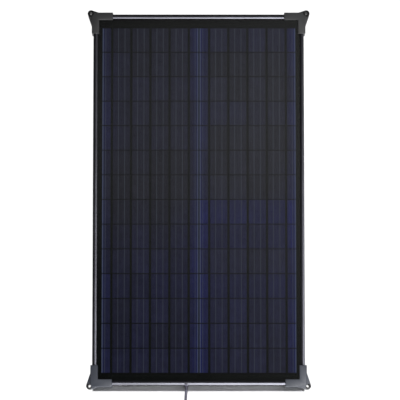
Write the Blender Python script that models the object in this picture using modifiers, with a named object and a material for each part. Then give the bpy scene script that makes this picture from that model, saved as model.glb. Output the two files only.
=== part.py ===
"""Small framed solar panel, lying face up: two strings of quarter-cut cells behind glass, an extruded frame
with moulded corner caps, a junction box on the back, and one output cable with a two-pole connector.

+Z is the way the glass faces, +Y runs to the panel's top edge, and the caps stand on z = 0. Metres.
"""

import math

import bmesh
import bpy
from mathutils import Matrix, Vector

MM = 0.001
GAP = 0.3 * MM

# Frame, outside
FRAME_WIDTH = 344 * MM
FRAME_LENGTH = 606 * MM
FRAME_BASE = 2.5 * MM
FRAME_TOP = 27.5 * MM
HALF_WIDTH = FRAME_WIDTH / 2
HALF_LENGTH = FRAME_LENGTH / 2

# Rail section: depths are measured inwards from the frame's outer face
WALL = 1.6 * MM
LIP_DEPTH = 6.8 * MM
LIP_UNDERSIDE = 24.5 * MM
LIP_CROWN = 1.7 * MM
LEDGE_DEPTH = 8.5 * MM
LEDGE_TOP = 17.7 * MM
CHAMBER_TOP = 16.2 * MM
CHAMBER_BOTTOM = 12.4 * MM
CHAMBER_OUTSIDE = 11.0 * MM
CHAMBER_DEPTH = 7.0 * MM
FLANGE_DEPTH = 20 * MM
FLANGE_TOP = 4.1 * MM
LIP_STEPS = 10
KEY_ARM = 28 * MM
KEY_CLEARANCE = 0.35 * MM

# Laminate, as (underside, top) of each layer
GLASS_INSET = 4.0 * MM
GLASS_LAYER = (21.0 * MM, 24.2 * MM)
FRONT_ENCAPSULANT_LAYER = (20.4 * MM, 20.7 * MM)
RIBBON_LAYER = (20.05 * MM, 20.2 * MM)
CELL_LAYER = (19.65 * MM, 19.85 * MM)
REAR_ENCAPSULANT_LAYER = (19.05 * MM, 19.35 * MM)
LEAD_LAYER = (18.6 * MM, 18.75 * MM)
BACKSHEET_LAYER = (18.0 * MM, 18.3 * MM)
SEAL_WIDTH = 1.8 * MM

# Cells: two strings of 14 quarter-cut 156.75 mm wafers
ROWS = 14
CELL_WIDTH = 156.75 * MM
CELL_HEIGHT = 39.2 * MM
ROW_PITCH = 40.4 * MM
STRING_GAP = 2.0 * MM
FIELD_SHIFT = (0.6 * MM, -1.0 * MM)
RIBBONS = 5
RIBBON_PITCH = CELL_WIDTH / RIBBONS
RIBBON_WIDTH = 3.8 * MM
BUS_WIDTH = 4.0 * MM
BUS_OFFSET = 3.0 * MM

# Corner caps, measured from the frame's outer corner
CAP_TOP = 30 * MM
CAP_WALL = 2.8 * MM
CAP_ARM = 32 * MM
CAP_INNER_DEPTH = 9.2 * MM
CAP_FLOOR = 2.2 * MM
EAR_BOTTOM = 0.1 * MM
EAR_TOP = 27 * MM
EAR_BEVEL = 0.5 * MM
EAR_CENTRE = (-4.2 * MM, -1.6 * MM)
EAR_RADIUS = 5.4 * MM
EAR_BORE_RADIUS = 2.4 * MM
GUSSET_ON_SIDE = 20 * MM
GUSSET_ON_END = 10 * MM
CAP_BEVEL = 0.6 * MM

# Junction box on the back
BOX_HALF_WIDTH = 32 * MM
BOX_LOW_Y = -262 * MM
BOX_HIGH_Y = -206 * MM
BOX_TOP = LEDGE_TOP
BOX_BOTTOM = 5.9 * MM
BOX_WALL = 2.0 * MM
BOX_ROOF = 1.6 * MM
LID_BOTTOM = 3.6 * MM
LID_THICKNESS = 2.0 * MM
LID_RIB = 1.6 * MM
LEAD_X = 14 * MM
LEAD_WIDTH = 8 * MM
LEAD_DROP_Y = -232 * MM
TERMINAL_HALF = (26 * MM, 8 * MM)
TERMINAL_TOP = 15.7 * MM
TERMINAL_BOTTOM = 8.0 * MM

# Output cable
CABLE_DIAMETER = 4.2 * MM
CABLE_RADIUS = CABLE_DIAMETER / 2
CABLE_X = -20 * MM
EXIT_Z = 7.5 * MM
GLAND_Z = 11 * MM
GLAND_RADIUS = 5.5 * MM
GLAND_LENGTH = 11 * MM
EXIT_HOLE_RADIUS = 3.2 * MM
BUSHING_FLANGE_RADIUS = 4.4 * MM
BUSHING_FLANGE = 1.2 * MM
HOOK_WIDTH = 4.6 * MM
HOOK_THICKNESS = 1.0 * MM
HOOK_REACH = 1.9 * MM

# The cable's route over the surface, then its coil: 7.25 turns in two layers
LEAD_ROUTE = [
    (-20.0, -304.8, 7.5),
    (-20.0, -308.5, 7.45),
    (-20.2, -313.0, 6.9),
    (-20.6, -318.0, 5.5),
    (-20.9, -323.0, 4.0),
    (-21.1, -329.0, 3.1),
    (-21.1, -337.0, 2.85),
    (-21.0, -346.0, 2.85),
    (-21.0, -356.0, 2.85),
]
COIL_CENTRE = (10.45 * MM, -363.7 * MM)
COIL_INNER_RADIUS = 16.2 * MM
COIL_OUTER_RADIUS = 33.8 * MM
COIL_BOTTOM = 0.7 * MM
COIL_TOP = 9.3 * MM
TAIL_ROUTE = [
    (18.5, -395.15, 7.15),
    (23.0, -395.15, 7.15),
    (27.0, -395.1, 7.0),
    (32.0, -394.6, 6.2),
    (37.5, -393.9, 5.1),
    (43.0, -393.5, 4.7),
    (46.0, -393.5, 4.7),
]
TIE_WIDTH = 4 * MM
TIE_THICKNESS = 0.4 * MM
CONNECTOR_Y = -393.5 * MM
CONNECTOR_Z = 4.7 * MM
CONNECTOR_START = 46.3 * MM
BOOT_LENGTH = 20 * MM
HOUSING_LENGTH = 24 * MM
HOUSING_WIDTH = 15 * MM
HOUSING_HEIGHT = 9 * MM
POLE_OFFSET = 3.6 * MM
PIN_RADIUS = 1.9 * MM
PIN_LENGTH = 9 * MM
SOCKET_RADIUS = 2.3 * MM
SOCKET_DEPTH = 10 * MM

CORNERS = {
    "top_left": (-1, 1),
    "top_right": (1, 1),
    "bottom_left": (-1, -1),
    "bottom_right": (1, -1),
}

for stale in list(bpy.data.objects):
    bpy.data.objects.remove(stale, do_unlink=True)
parts = bpy.data.collections.new("solar_panel")
cutters = bpy.data.collections.new("cutters")
bpy.context.scene.collection.children.link(parts)
bpy.context.scene.collection.children.link(cutters)


def material(name, colour, roughness, metallic=0.0):
    made = bpy.data.materials.new(name)
    made.use_nodes = True
    shader = made.node_tree.nodes["Principled BSDF"]
    shader.inputs["Base Color"].default_value = (*colour, 1.0)
    shader.inputs["Roughness"].default_value = roughness
    shader.inputs["Metallic"].default_value = metallic
    return made


MATERIALS = {
    "cell": material("cell_silicon", (0.020, 0.022, 0.045), 0.35),
    "glass": material("front_glass", (0.60, 0.66, 0.68), 0.08),
    "film": material("encapsulant_film", (0.30, 0.31, 0.32), 0.4),
    "backsheet": material("black_backsheet", (0.010, 0.011, 0.012), 0.6),
    "ribbon": material("coated_ribbon", (0.008, 0.009, 0.010), 0.5, 0.3),
    "copper": material("tinned_copper", (0.55, 0.52, 0.48), 0.35, 1.0),
    "frame": material("black_anodised_aluminium", (0.055, 0.055, 0.062), 0.32, 1.0),
    "key": material("corner_key_alloy", (0.55, 0.56, 0.57), 0.45, 1.0),
    "cap": material("cap_plastic", (0.075, 0.078, 0.090), 0.5),
    "seal": material("seal_rubber", (0.012, 0.012, 0.013), 0.8),
    "box": material("box_plastic", (0.018, 0.018, 0.020), 0.55),
    "cable": material("cable_sheath", (0.075, 0.073, 0.105), 0.5),
    "brass": material("brass_contact", (0.72, 0.52, 0.25), 0.3, 1.0),
}


def link(obj, finish=None):
    """Puts an object with the parts, or with the cutters when it has no finish."""
    if finish is None:
        cutters.objects.link(obj)
        obj.hide_render = True
        obj.display_type = "WIRE"
    else:
        parts.objects.link(obj)
        obj.data.materials.append(MATERIALS[finish])
    return obj


def smooth(obj, angle=35):
    obj.data.shade_smooth()
    obj.data.set_sharp_from_angle(angle=math.radians(angle))
    return obj


def bevel(obj, width, segments=2, angle=40):
    modifier = obj.modifiers.new("round_edges", "BEVEL")
    modifier.width = width
    modifier.segments = segments
    modifier.limit_method = "ANGLE"
    modifier.angle_limit = math.radians(angle)
    return obj


def boolean(obj, other, operation="DIFFERENCE"):
    modifier = obj.modifiers.new(operation.lower(), "BOOLEAN")
    modifier.operation = operation
    modifier.object = other
    modifier.solver = "EXACT"
    return obj


def box(name, low, high, finish=None):
    """A box from its low corner to its high corner, with its origin at its middle."""
    low, high = Vector(low), Vector(high)
    mesh = bpy.data.meshes.new(name)
    shape = bmesh.new()
    bmesh.ops.create_cube(shape, size=1.0)
    bmesh.ops.scale(shape, vec=high - low, verts=shape.verts)
    shape.to_mesh(mesh)
    shape.free()
    obj = bpy.data.objects.new(name, mesh)
    obj.location = (low + high) / 2
    return link(obj, finish)


def cylinder(name, radius, start, end, finish=None, end_radius=None, segments=32):
    """A cylinder or cone from start to end."""
    start, end = Vector(start), Vector(end)
    mesh = bpy.data.meshes.new(name)
    shape = bmesh.new()
    bmesh.ops.create_cone(
        shape,
        cap_ends=True,
        segments=segments,
        radius1=radius,
        radius2=radius if end_radius is None else end_radius,
        depth=(end - start).length,
    )
    shape.to_mesh(mesh)
    shape.free()
    obj = bpy.data.objects.new(name, mesh)
    obj.location = (start + end) / 2
    obj.rotation_euler = (end - start).to_track_quat("Z", "Y").to_euler()
    smooth(obj)
    return link(obj, finish)


def as_mesh(curve_object, finish):
    """The curve object made into a mesh object with its caps welded on."""
    graph = bpy.context.evaluated_depsgraph_get()
    mesh = bpy.data.meshes.new_from_object(curve_object.evaluated_get(graph))
    shape = bmesh.new()
    shape.from_mesh(mesh)
    bmesh.ops.remove_doubles(shape, verts=shape.verts, dist=1e-6)
    bmesh.ops.recalc_face_normals(shape, faces=shape.faces)
    shape.to_mesh(mesh)
    shape.free()
    mesh.materials.clear()
    name, placed = curve_object.name, curve_object.matrix_world.copy()
    bpy.data.objects.remove(curve_object, do_unlink=True)
    obj = bpy.data.objects.new(name, mesh)
    obj.matrix_world = placed
    return link(obj, finish)


def extrusion(name, loops, bottom, top, finish=None):
    """A flat outline of closed loops, the later ones holes, made solid from bottom to top along Z."""
    curve = bpy.data.curves.new(name, "CURVE")
    curve.dimensions = "2D"
    curve.fill_mode = "BOTH"
    curve.extrude = (top - bottom) / 2
    for loop in loops:
        spline = curve.splines.new("POLY")
        spline.points.add(len(loop) - 1)
        spline.use_cyclic_u = True
        for point, (x, y) in zip(spline.points, loop):
            point.co = (x, y, 0, 1)
    obj = bpy.data.objects.new(name, curve)
    obj.location.z = (bottom + top) / 2
    parts.objects.link(obj)
    bpy.context.view_layer.update()
    return as_mesh(obj, finish)


def rectangle(low_x, low_y, high_x, high_y):
    return [(low_x, low_y), (high_x, low_y), (high_x, high_y), (low_x, high_y)]


def turned(name, profile, finish, steps=32):
    """A closed profile of (radius, height) turned about Z. Its outer side runs from top to bottom."""
    mesh = bpy.data.meshes.new(name)
    shape = bmesh.new()
    verts = [shape.verts.new((radius, 0, height)) for radius, height in profile]
    for first, second in zip(verts, verts[1:] + verts[:1]):
        shape.edges.new((first, second))
    shape.to_mesh(mesh)
    shape.free()
    obj = bpy.data.objects.new(name, mesh)
    screw = obj.modifiers.new("turn", "SCREW")
    screw.steps = steps
    screw.render_steps = steps
    screw.use_merge_vertices = True
    screw.merge_threshold = 0.00001
    screw.use_smooth_shade = False
    return link(obj, finish)


def smooth_route(route, spacing):
    """Points about that far apart on a smooth curve through the route, which is in millimetres."""
    knots = [Vector(point) * MM for point in route]
    ends = [2 * knots[0] - knots[1], *knots, 2 * knots[-1] - knots[-2]]
    points = []
    for before, start, end, after in zip(ends, ends[1:], ends[2:], ends[3:]):
        steps = max(1, round((end - start).length / spacing))
        for step in range(steps):
            t = step / steps
            points.append(
                0.5
                * (
                    2 * start
                    + (end - before) * t
                    + (2 * before - 5 * start + 4 * end - after) * t**2
                    + (3 * start - before - 3 * end + after) * t**3
                )
            )
    return points + [knots[-1]]


def tube(name, points, radius, finish):
    curve = bpy.data.curves.new(name, "CURVE")
    curve.dimensions = "3D"
    curve.bevel_depth = radius
    curve.bevel_resolution = 3
    curve.use_fill_caps = True
    spline = curve.splines.new("POLY")
    spline.points.add(len(points) - 1)
    for point, place in zip(spline.points, points):
        point.co = (*place, 1)
    return link(bpy.data.objects.new(name, curve), finish)


# Frame


def lip_curve(grow=0.0):
    """The lip's crowned top as (depth, height), from its inner edge over to the outer face."""
    half = LIP_DEPTH / 2
    across = [1 - 2 * step / LIP_STEPS for step in range(LIP_STEPS + 1)]
    return [(half + (half + grow) * u, FRAME_TOP + grow - LIP_CROWN * u**2) for u in across]


def rail_section():
    outside = [
        (0, FRAME_BASE),
        (FLANGE_DEPTH, FRAME_BASE),
        (FLANGE_DEPTH, FLANGE_TOP),
        (WALL, FLANGE_TOP),
        (WALL, CHAMBER_OUTSIDE),
        (LEDGE_DEPTH, CHAMBER_OUTSIDE),
        (LEDGE_DEPTH, LEDGE_TOP),
        (WALL, LEDGE_TOP),
        (WALL, LIP_UNDERSIDE),
        (LIP_DEPTH, LIP_UNDERSIDE),
        *lip_curve(),
    ]
    chamber = rectangle(WALL, CHAMBER_BOTTOM, CHAMBER_DEPTH, CHAMBER_TOP)
    return [outside, chamber]


def rail(name, inward, half_length, reach):
    """A mitred length of the section. Its outer face is at that reach from the panel's middle."""
    obj = extrusion(name, rail_section(), -half_length, half_length, "frame")
    for vertex in obj.data.vertices:
        depth = vertex.co.x
        mitred = half_length - GAP - depth
        vertex.co.z = math.copysign(mitred, vertex.co.z)
    inward, up = Vector(inward), Vector((0, 0, 1))
    turn = Matrix((inward, up, inward.cross(up))).transposed().to_4x4()
    obj.matrix_world = Matrix.Translation(-inward * reach) @ turn
    return smooth(obj)


def make_frame():
    rail("rail_left", (1, 0, 0), HALF_LENGTH, HALF_WIDTH)
    rail("rail_right", (-1, 0, 0), HALF_LENGTH, HALF_WIDTH)
    rail("rail_top", (0, -1, 0), HALF_WIDTH, HALF_LENGTH)
    bottom = rail("rail_bottom", (0, 1, 0), HALF_WIDTH, HALF_LENGTH)
    hole = cylinder(
        "cut_exit_hole",
        EXIT_HOLE_RADIUS,
        (CABLE_X, -HALF_LENGTH - 3 * MM, EXIT_Z),
        (CABLE_X, -HALF_LENGTH + 5 * MM, EXIT_Z),
    )
    boolean(bottom, hole)


def ell(near, far, reach):
    """An L-shaped outline at a corner: it lies between two depths and its arms end at reach."""
    return [
        (near, near),
        (reach, near),
        (reach, far),
        (far, far),
        (far, reach),
        (near, reach),
    ]


def at_each_corner(kind, master, finish):
    """A copy of the master at each corner, mirrored so that its arms run inwards. The master is removed."""
    for corner, (x, y) in CORNERS.items():
        copy = bpy.data.objects.new(f"{kind}_{corner}", master.data)
        place = Matrix.Translation((x * HALF_WIDTH, y * HALF_LENGTH, 0))
        copy.matrix_world = place @ Matrix.Diagonal((-x, -y, 1, 1))
        parts.objects.link(copy)
    master.data.materials.append(MATERIALS[finish])
    bpy.data.objects.remove(master, do_unlink=True)


def baked(obj):
    """The object with its modifiers made part of its mesh, at the panel's origin."""
    bpy.context.view_layer.update()
    graph = bpy.context.evaluated_depsgraph_get()
    mesh = bpy.data.meshes.new_from_object(obj.evaluated_get(graph))
    mesh.transform(obj.matrix_world)
    mesh.materials.clear()
    made = bpy.data.objects.new(f"{obj.name}_baked", mesh)
    bpy.data.objects.remove(obj, do_unlink=True)
    return link(made)


def make_corner_keys():
    near, far = WALL + KEY_CLEARANCE, CHAMBER_DEPTH - KEY_CLEARANCE
    low, high = CHAMBER_BOTTOM + KEY_CLEARANCE, CHAMBER_TOP - KEY_CLEARANCE
    key = extrusion("key", [ell(near, far, KEY_ARM)], low, high)
    at_each_corner("corner_key", baked(key), "key")


def tangent_angle(point, turn):
    """The angle on the ear's circle where a line from the point touches it."""
    across = point[0] - EAR_CENTRE[0]
    along = point[1] - EAR_CENTRE[1]
    spread = math.acos(EAR_RADIUS / math.hypot(across, along))
    return math.atan2(along, across) + turn * spread


def ear_outline():
    """The ear with the gussets that join it to the cap's two walls."""
    sunk = 0.15 * MM - CAP_WALL
    on_side, on_end = (sunk, GUSSET_ON_SIDE), (GUSSET_ON_END, sunk)
    first, last = tangent_angle(on_side, 1), tangent_angle(on_end, -1)
    last += math.tau * (last < first)
    steps = 14
    arc = [first + (last - first) * step / steps for step in range(steps + 1)]
    rim = [
        (EAR_CENTRE[0] + EAR_RADIUS * math.cos(a), EAR_CENTRE[1] + EAR_RADIUS * math.sin(a))
        for a in arc
    ]
    inside = -1.4 * MM
    return [(inside, GUSSET_ON_SIDE), on_side, *rim, on_end, (GUSSET_ON_END, inside), (inside, inside)]


def make_corner_caps():
    """Moulded caps: a hooked angle over the two rails, with an ear that has a screw hole through it."""
    cap = extrusion("cap", [ell(-CAP_WALL, CAP_INNER_DEPTH, CAP_ARM)], 0, CAP_TOP)
    bevel(cap, CAP_BEVEL, 2)
    ear = extrusion("add_ear", [ear_outline()], EAR_BOTTOM, EAR_TOP)
    bevel(ear, EAR_BEVEL, 2)
    over = CAP_ARM + 5 * MM
    lip_edge = LIP_DEPTH + GAP
    around_rails = extrusion("cut_rails", [ell(-GAP, lip_edge, over)], CAP_FLOOR, FRAME_TOP + GAP)
    inner_strip = ell(lip_edge - MM, CAP_INNER_DEPTH + 2 * MM, over)
    above_glass = extrusion("cut_glass", [inner_strip], CAP_FLOOR, GLASS_LAYER[1] + GAP)
    x, y = EAR_CENTRE
    bore = cylinder("cut_bore", EAR_BORE_RADIUS, (x, y, -MM), (x, y, CAP_TOP + MM), segments=24)
    boolean(cap, ear, "UNION")
    for cutter in (bore, above_glass, around_rails):
        boolean(cap, cutter)
    at_each_corner("corner_cap", smooth(baked(cap)), "cap")


# Laminate


def field_x(side):
    """The middle of a string's cells; side is -1 for the left string and 1 for the right one."""
    return FIELD_SHIFT[0] + side * (CELL_WIDTH + STRING_GAP) / 2


def row_y(row):
    return FIELD_SHIFT[1] + ((ROWS - 1) / 2 - row) * ROW_PITCH


def laminate_sheet(name, layer, finish):
    """A sheet of the laminate's full size."""
    half_x, half_y = HALF_WIDTH - GLASS_INSET, HALF_LENGTH - GLASS_INSET
    return box(name, (-half_x, -half_y, layer[0]), (half_x, half_y, layer[1]), finish)


def make_cells():
    for label, side in (("left", -1), ("right", 1)):
        for row in range(ROWS):
            x, y = field_x(side), row_y(row)
            box(
                f"cell_{label}_{row + 1:02d}",
                (x - CELL_WIDTH / 2, y - CELL_HEIGHT / 2, CELL_LAYER[0]),
                (x + CELL_WIDTH / 2, y + CELL_HEIGHT / 2, CELL_LAYER[1]),
                "cell",
            )


def ribbon_centres():
    offsets = [(index - (RIBBONS - 1) / 2) * RIBBON_PITCH for index in range(RIBBONS)]
    return [field_x(side) + offset for side in (-1, 1) for offset in offsets]


def make_interconnect():
    """The ribbons of both strings and the bus that joins them at the top, as one comb."""
    cells_top = row_y(0) + CELL_HEIGHT / 2
    cells_bottom = row_y(ROWS - 1) - CELL_HEIGHT / 2
    bus_low, bus_high = cells_top + BUS_OFFSET, cells_top + BUS_OFFSET + BUS_WIDTH
    half = RIBBON_WIDTH / 2
    centres = ribbon_centres()
    comb = [(centres[-1] + half, bus_high), (centres[0] - half, bus_high)]
    for centre in centres:
        comb += [(centre - half, bus_low), (centre - half, cells_bottom)]
        comb += [(centre + half, cells_bottom), (centre + half, bus_low)]
    comb.pop(2)
    comb.pop()
    extrusion("cell_interconnect", [comb], *RIBBON_LAYER, "ribbon")


def bus_lead(label, side):
    """A string's bottom bus, with the lead that runs behind the cells and down into the junction box."""
    bus_top = row_y(ROWS - 1) - CELL_HEIGHT / 2 - BUS_OFFSET
    bus_bottom = bus_top - BUS_WIDTH
    thick = LEAD_LAYER[1] - LEAD_LAYER[0]
    inner, outer = LEAD_X - LEAD_WIDTH / 2, CELL_WIDTH - 10 * MM
    near, far = sorted((side * inner, side * (LEAD_X + LEAD_WIDTH / 2)))
    ends = sorted((side * inner, side * outer))
    lead = box(
        f"bus_lead_{label}",
        (ends[0], bus_bottom, CELL_LAYER[0]),
        (ends[1], bus_top, CELL_LAYER[1]),
        "ribbon",
    )
    drop = box(
        f"add_drop_{label}",
        (near, bus_bottom, LEAD_LAYER[0]),
        (far, bus_bottom + thick * 4, CELL_LAYER[1] - thick / 2),
    )
    run = box(
        f"add_run_{label}",
        (near, bus_bottom + thick / 2, LEAD_LAYER[0] + thick / 8),
        (far, LEAD_DROP_Y, LEAD_LAYER[1] + thick / 8),
    )
    tongue = box(
        f"add_tongue_{label}",
        (near, LEAD_DROP_Y - thick * 4, TERMINAL_TOP + GAP),
        (far, LEAD_DROP_Y + thick, LEAD_LAYER[1]),
    )
    for piece in (drop, run, tongue):
        boolean(lead, piece, "UNION")


def slot(name, side, middle_y, bottom, top):
    """A cutter for the opening that a lead goes down through."""
    half_x, half_y = LEAD_WIDTH / 2 + GAP, MM
    x = side * LEAD_X
    return box(name, (x - half_x, middle_y - half_y, bottom), (x + half_x, middle_y + half_y, top))


def make_laminate():
    bevel(laminate_sheet("front_glass", GLASS_LAYER, "glass"), 0.4 * MM, 1)
    laminate_sheet("front_encapsulant", FRONT_ENCAPSULANT_LAYER, "film")
    rear = laminate_sheet("rear_encapsulant", REAR_ENCAPSULANT_LAYER, "film")
    backsheet = laminate_sheet("backsheet", BACKSHEET_LAYER, "backsheet")
    bus_bottom = row_y(ROWS - 1) - CELL_HEIGHT / 2 - BUS_OFFSET - BUS_WIDTH
    for label, side in (("left", -1), ("right", 1)):
        bus_lead(label, side)
        drop_slot = slot(f"cut_film_{label}", side, bus_bottom + 0.3 * MM, 18 * MM, 20 * MM)
        tongue_slot = slot(f"cut_sheet_{label}", side, LEAD_DROP_Y - 0.2 * MM, 15 * MM, 18.5 * MM)
        boolean(rear, drop_slot)
        boolean(backsheet, tongue_slot)
    outer = GLASS_INSET - GAP - SEAL_WIDTH
    inner = GLASS_INSET - GAP
    loops = [
        rectangle(depth - HALF_WIDTH, depth - HALF_LENGTH, HALF_WIDTH - depth, HALF_LENGTH - depth)
        for depth in (outer, inner)
    ]
    extrusion("edge_seal", loops, BACKSHEET_LAYER[0], GLASS_LAYER[1], "seal")


# Junction box


def make_junction_box():
    base = box(
        "junction_box_base",
        (-BOX_HALF_WIDTH, BOX_LOW_Y, BOX_BOTTOM),
        (BOX_HALF_WIDTH, BOX_HIGH_Y, BOX_TOP),
        "box",
    )
    bevel(base, 1.5 * MM, 2)
    inside_x = BOX_HALF_WIDTH - BOX_WALL
    cavity = box(
        "cut_box_cavity",
        (-inside_x, BOX_LOW_Y + BOX_WALL, BOX_BOTTOM - 5 * MM),
        (inside_x, BOX_HIGH_Y - BOX_WALL, BOX_TOP - BOX_ROOF),
    )
    gland_hole = cylinder(
        "cut_gland_hole",
        CABLE_RADIUS + GAP,
        (CABLE_X, BOX_LOW_Y - 5 * MM, GLAND_Z),
        (CABLE_X, BOX_LOW_Y + 5 * MM, GLAND_Z),
    )
    boolean(base, cavity)
    boolean(base, gland_hole)
    for label, side in (("left", -1), ("right", 1)):
        boolean(base, bpy.data.objects[f"cut_sheet_{label}"])
    lid = box(
        "junction_box_lid",
        (-BOX_HALF_WIDTH, BOX_LOW_Y, LID_BOTTOM),
        (BOX_HALF_WIDTH, BOX_HIGH_Y, LID_BOTTOM + LID_THICKNESS),
        "box",
    )
    bevel(lid, 0.8 * MM, 2)
    rib_x = inside_x - GAP
    rib = box(
        "add_lid_rib",
        (-rib_x, BOX_LOW_Y + BOX_WALL + GAP, LID_BOTTOM + MM),
        (rib_x, BOX_HIGH_Y - BOX_WALL - GAP, LID_BOTTOM + LID_THICKNESS + LID_RIB),
    )
    boolean(lid, rib, "UNION")
    half_x, half_y = TERMINAL_HALF
    block = box(
        "terminal_block",
        (-half_x, LEAD_DROP_Y - half_y, TERMINAL_BOTTOM),
        (half_x, LEAD_DROP_Y + half_y, TERMINAL_TOP),
        "copper",
    )
    bevel(block, 0.8 * MM, 1)


def make_gland():
    """A ribbed compression gland on the box's wall, with a bore for the cable."""
    bore = CABLE_RADIUS + GAP
    profile = [
        (bore, GLAND_LENGTH),
        (GLAND_RADIUS - 1.4 * MM, GLAND_LENGTH),
        (GLAND_RADIUS - 0.4 * MM, GLAND_LENGTH - 2 * MM),
        (GLAND_RADIUS - 0.4 * MM, 4 * MM),
        (GLAND_RADIUS, 4 * MM),
        (GLAND_RADIUS, 0),
        (bore, 0),
    ]
    gland = turned("cable_gland", profile, "box", 24)
    gland.location = (CABLE_X, BOX_LOW_Y - GAP, GLAND_Z)
    gland.rotation_euler = (math.pi / 2, 0, 0)


# Output cable


def exit_bushing():
    """The bushing in the bottom rail's wall, in one with a hook that clips over the rail's lip."""
    outer_face = -HALF_LENGTH - GAP
    bore = CABLE_RADIUS + GAP
    neck = EXIT_HOLE_RADIUS - GAP
    profile = [
        (bore, BUSHING_FLANGE),
        (BUSHING_FLANGE_RADIUS, BUSHING_FLANGE),
        (BUSHING_FLANGE_RADIUS, 0),
        (neck, 0),
        (neck, -WALL - GAP),
        (bore, -WALL - GAP),
    ]
    bushing = turned("exit_bushing", profile, "seal", 24)
    bushing.location = (CABLE_X, outer_face, EXIT_Z)
    bushing.rotation_euler = (math.pi / 2, 0, 0)
    over = [point for point in lip_curve(GAP) if point[0] < HOOK_REACH - 0.2 * MM]
    top = [point for point in lip_curve(GAP + HOOK_THICKNESS) if point[0] < HOOK_REACH]
    foot = EXIT_Z + BUSHING_FLANGE_RADIUS - 1.2 * MM
    strip = [*top, (-GAP - HOOK_THICKNESS, foot), (-GAP, foot), *over[::-1]]
    hook = extrusion("add_hook", [strip], -HOOK_WIDTH / 2, HOOK_WIDTH / 2)
    turn = Matrix(((0, 1, 0), (0, 0, 1), (1, 0, 0))).transposed().to_4x4()
    hook.matrix_world = Matrix.Translation((CABLE_X, -HALF_LENGTH, 0)) @ turn
    boolean(bushing, hook, "UNION")


def inner_lead():
    """The cable between the gland and the bushing, passing over the rear flange."""
    route = [
        (-20.0, -255.0, 11.0),
        (-20.0, -268.0, 11.0),
        (-20.0, -276.0, 10.9),
        (-20.0, -282.0, 9.9),
        (-20.0, -288.0, 8.2),
        (-20.0, -294.0, 7.5),
        (-20.0, -300.0, 7.5),
        (-20.0, -304.5, 7.5),
    ]
    tube("inner_lead", smooth_route(route, 2.2 * CABLE_DIAMETER), CABLE_RADIUS, "cable")


def notch(coil, name, start, end):
    """Cuts the stretch of the coil's solid that the cable's own end lies in."""
    boolean(coil, cylinder(name, CABLE_RADIUS + 1.5 * GAP, start, end, segments=16))


def make_coil():
    profile = [
        (COIL_INNER_RADIUS, COIL_TOP),
        (COIL_OUTER_RADIUS, COIL_TOP),
        (COIL_OUTER_RADIUS, COIL_BOTTOM),
        (COIL_INNER_RADIUS, COIL_BOTTOM),
    ]
    coil = turned("cable_coil", profile, "cable", 40)
    coil.location = (*COIL_CENTRE, 0)
    lead_end = Vector(LEAD_ROUTE[-1]) * MM
    tail_start = Vector(TAIL_ROUTE[0]) * MM
    notch(coil, "cut_lead_end", lead_end - Vector((0, GAP, 0)), lead_end + Vector((0, 40 * MM, 0)))
    notch(coil, "cut_tail_start", tail_start - Vector((GAP, 0, 0)), tail_start + Vector((30 * MM, 0, 0)))


def make_tie():
    """A flat strap round the coil's turns, with a small head on its outer side."""
    near, far = COIL_INNER_RADIUS - GAP, COIL_OUTER_RADIUS + GAP
    low, high = COIL_BOTTOM - GAP, COIL_TOP + GAP
    thick, head = TIE_THICKNESS, 2 * MM
    outside = [
        (near - thick, low - thick),
        (far + thick, low - thick),
        (far + thick, low + 2 * MM),
        (far + head, low + 2 * MM),
        (far + head, low + 6 * MM),
        (far + thick, low + 6 * MM),
        (far + thick, high + thick),
        (near - thick, high + thick),
    ]
    inside = rectangle(near, low, far, high)
    tie = extrusion("cable_tie", [outside, inside], -TIE_WIDTH / 2, TIE_WIDTH / 2, "box")
    turn = Matrix(((1, 0, 0), (0, 0, 1), (0, -1, 0))).transposed().to_4x4()
    tie.matrix_world = Matrix.Translation((*COIL_CENTRE, 0)) @ turn


def make_connector():
    """A two-pole connector: one bare pin and one socket, with a tapered boot on the cable."""
    joint = CONNECTOR_START + BOOT_LENGTH
    front = joint + HOUSING_LENGTH
    half_width, half_height = HOUSING_WIDTH / 2, HOUSING_HEIGHT / 2
    housing = box(
        "connector_housing",
        (joint - MM, CONNECTOR_Y - half_width, CONNECTOR_Z - half_height),
        (front, CONNECTOR_Y + half_width, CONNECTOR_Z + half_height),
        "box",
    )
    bevel(housing, 1.6 * MM, 3)
    boot = cylinder(
        "add_boot",
        2.8 * MM,
        (CONNECTOR_START, CONNECTOR_Y, CONNECTOR_Z),
        (joint, CONNECTOR_Y, CONNECTOR_Z),
        end_radius=4.2 * MM,
        segments=24,
    )
    socket_y = CONNECTOR_Y - POLE_OFFSET
    socket = cylinder(
        "cut_socket",
        SOCKET_RADIUS,
        (front - SOCKET_DEPTH, socket_y, CONNECTOR_Z),
        (front + MM, socket_y, CONNECTOR_Z),
        segments=24,
    )
    boolean(housing, boot, "UNION")
    boolean(housing, socket)
    pin_y = CONNECTOR_Y + POLE_OFFSET
    cylinder(
        "connector_pin",
        PIN_RADIUS,
        (front + GAP, pin_y, CONNECTOR_Z),
        (front + GAP + PIN_LENGTH, pin_y, CONNECTOR_Z),
        "brass",
        segments=20,
    )


def make_cable():
    inner_lead()
    spacing = 2.2 * CABLE_DIAMETER
    tube("cable_lead", smooth_route(LEAD_ROUTE, spacing), CABLE_RADIUS, "cable")
    tube("cable_tail", smooth_route(TAIL_ROUTE, spacing), CABLE_RADIUS, "cable")
    make_coil()
    make_tie()
    make_connector()


make_frame()
make_corner_keys()
make_corner_caps()
make_cells()
make_interconnect()
make_laminate()
make_junction_box()
make_gland()
exit_bushing()
make_cable()
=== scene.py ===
"""Framed solar panel lying face up on a pale floor, seen from above, in its CAD model's frame, in metres."""

import math

import bmesh
import bpy
from mathutils import Matrix, Vector


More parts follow.
